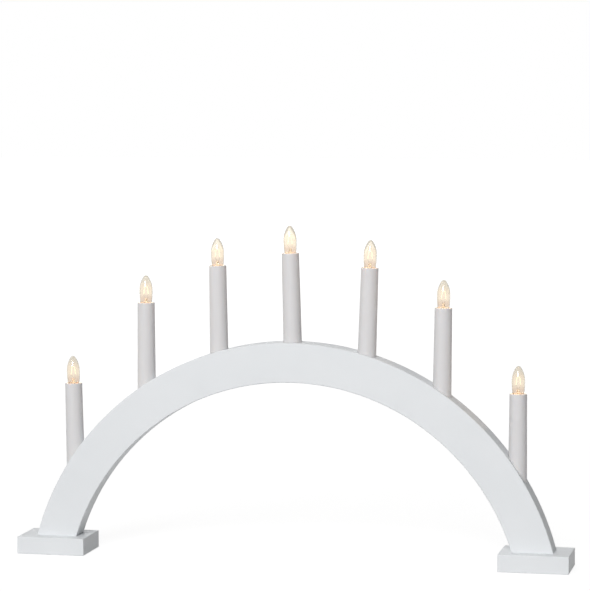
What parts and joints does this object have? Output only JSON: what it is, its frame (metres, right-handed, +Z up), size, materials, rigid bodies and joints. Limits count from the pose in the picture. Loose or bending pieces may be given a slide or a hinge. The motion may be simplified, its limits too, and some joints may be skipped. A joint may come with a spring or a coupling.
{
  "type": "candle arch",
  "caption": "Electric candle arch: a painted ring-segment board on block feet, with candle tubes in its upper edge that carry screw-in candle bulbs.",
  "frame": {"origin": "on the ground under the feet, midway between them and midway from front to back", "axes": "+X along the arch to its right-hand foot, +Y to its back, where the wire channel's cover is, +Z up"},
  "size_m": [0.58, 0.057, 0.3472],
  "materials": {
    "white_paint": "satin white paint over wood",
    "sleeve_plastic": "smooth satin white plastic",
    "holder_plastic": "moulded white plastic",
    "contact_brass": "bright sheet brass",
    "cap_brass": "rolled brass",
    "bulb_glass": "clear blown glass",
    "lit_filament": "lit filament on its wires and glass stem",
    "wire_insulation": "soft white insulation",
    "white_rubber": "matte white rubber",
    "felt": "pressed wool felt",
    "screw_steel": "zinc-plated steel"
  },
  "bodies": {
    "arch": {"arch_board": "white_paint", "rear_cover": "white_paint", "cover_screws": "screw_steel", "left_foot": "white_paint", "right_foot": "white_paint", "foot_screws": "screw_steel", "felt_pads": "felt", "cable_grommet": "white_rubber", "link_wires": "wire_insulation", "lead_wires": "wire_insulation", "lamp_holder_1": "holder_plastic", "socket_shell_1": "contact_brass", "centre_contact_1": "contact_brass", "lamp_holder_2": "holder_plastic", "socket_shell_2": "contact_brass", "centre_contact_2": "contact_brass", "lamp_holder_3": "holder_plastic", "socket_shell_3": "contact_brass", "centre_contact_3": "contact_brass", "lamp_holder_4": "holder_plastic", "socket_shell_4": "contact_brass", "centre_contact_4": "contact_brass", "lamp_holder_5": "holder_plastic", "socket_shell_5": "contact_brass", "centre_contact_5": "contact_brass", "lamp_holder_6": "holder_plastic", "socket_shell_6": "contact_brass", "centre_contact_6": "contact_brass", "lamp_holder_7": "holder_plastic", "socket_shell_7": "contact_brass", "centre_contact_7": "contact_brass"},
    "sleeve_1": {"candle_sleeve_1": "sleeve_plastic"},
    "bulb_1": {"bulb_glass_1": "bulb_glass", "bulb_cap_1": "cap_brass", "filament_mount_1": "lit_filament"},
    "sleeve_2": {"candle_sleeve_2": "sleeve_plastic"},
    "bulb_2": {"bulb_glass_2": "bulb_glass", "bulb_cap_2": "cap_brass", "filament_mount_2": "lit_filament"},
    "sleeve_3": {"candle_sleeve_3": "sleeve_plastic"},
    "bulb_3": {"bulb_glass_3": "bulb_glass", "bulb_cap_3": "cap_brass", "filament_mount_3": "lit_filament"},
    "sleeve_4": {"candle_sleeve_4": "sleeve_plastic"},
    "bulb_4": {"bulb_glass_4": "bulb_glass", "bulb_cap_4": "cap_brass", "filament_mount_4": "lit_filament"},
    "sleeve_5": {"candle_sleeve_5": "sleeve_plastic"},
    "bulb_5": {"bulb_glass_5": "bulb_glass", "bulb_cap_5": "cap_brass", "filament_mount_5": "lit_filament"},
    "sleeve_6": {"candle_sleeve_6": "sleeve_plastic"},
    "bulb_6": {"bulb_glass_6": "bulb_glass", "bulb_cap_6": "cap_brass", "filament_mount_6": "lit_filament"},
    "sleeve_7": {"candle_sleeve_7": "sleeve_plastic"},
    "bulb_7": {"bulb_glass_7": "bulb_glass", "bulb_cap_7": "cap_brass", "filament_mount_7": "lit_filament"}
  },
  "joints": [
    {"name": "sleeve_1_lift", "type": "slide", "parent": "arch", "child": "sleeve_1", "axis": [-0.0209, 0, 0.9998], "range_m": [0, 0.13]},
    {"name": "bulb_1_unscrew", "type": "hinge", "parent": "arch", "child": "bulb_1", "pos_m": [-0.23538, 0, 0.16857], "axis": [-0.0209, 0, 0.9998], "range_deg": [0, 900]},
    {"name": "sleeve_2_lift", "type": "slide", "parent": "arch", "child": "sleeve_2", "axis": [-0.0035, 0, 1], "range_m": [0, 0.13]},
    {"name": "bulb_2_unscrew", "type": "hinge", "parent": "arch", "child": "bulb_2", "pos_m": [-0.15626, 0, 0.25464], "axis": [-0.0035, 0, 1], "range_deg": [0, 900]},
    {"name": "sleeve_3_lift", "type": "slide", "parent": "arch", "child": "sleeve_3", "axis": [-0.0157, 0, 0.9999], "range_m": [0, 0.13]},
    {"name": "bulb_3_unscrew", "type": "hinge", "parent": "arch", "child": "bulb_3", "pos_m": [-0.07923, 0, 0.29443], "axis": [-0.0157, 0, 0.9999], "range_deg": [0, 900]},
    {"name": "sleeve_4_lift", "type": "slide", "parent": "arch", "child": "sleeve_4", "axis": [-0.0262, 0, 0.9997], "range_m": [0, 0.13]},
    {"name": "bulb_4_unscrew", "type": "hinge", "parent": "arch", "child": "bulb_4", "pos_m": [-0.00213, 0, 0.30825], "axis": [-0.0262, 0, 0.9997], "range_deg": [0, 900]},
    {"name": "sleeve_5_lift", "type": "slide", "parent": "arch", "child": "sleeve_5", "axis": [0.0314, 0, 0.9995], "range_m": [0, 0.13]},
    {"name": "bulb_5_unscrew", "type": "hinge", "parent": "arch", "child": "bulb_5", "pos_m": [0.08046, 0, 0.2944], "axis": [0.0314, 0, 0.9995], "range_deg": [0, 900]},
    {"name": "sleeve_6_lift", "type": "slide", "parent": "arch", "child": "sleeve_6", "axis": [0.0122, 0, 0.9999], "range_m": [0, 0.13]},
    {"name": "bulb_6_unscrew", "type": "hinge", "parent": "arch", "child": "bulb_6", "pos_m": [0.15691, 0, 0.25464], "axis": [0.0122, 0, 0.9999], "range_deg": [0, 900]},
    {"name": "sleeve_7_lift", "type": "slide", "parent": "arch", "child": "sleeve_7", "axis": [0.0017, 0, 1], "range_m": [0, 0.13]},
    {"name": "bulb_7_unscrew", "type": "hinge", "parent": "arch", "child": "bulb_7", "pos_m": [0.23411, 0, 0.16858], "axis": [0.0017, 0, 1], "range_deg": [0, 900]}
  ]
}
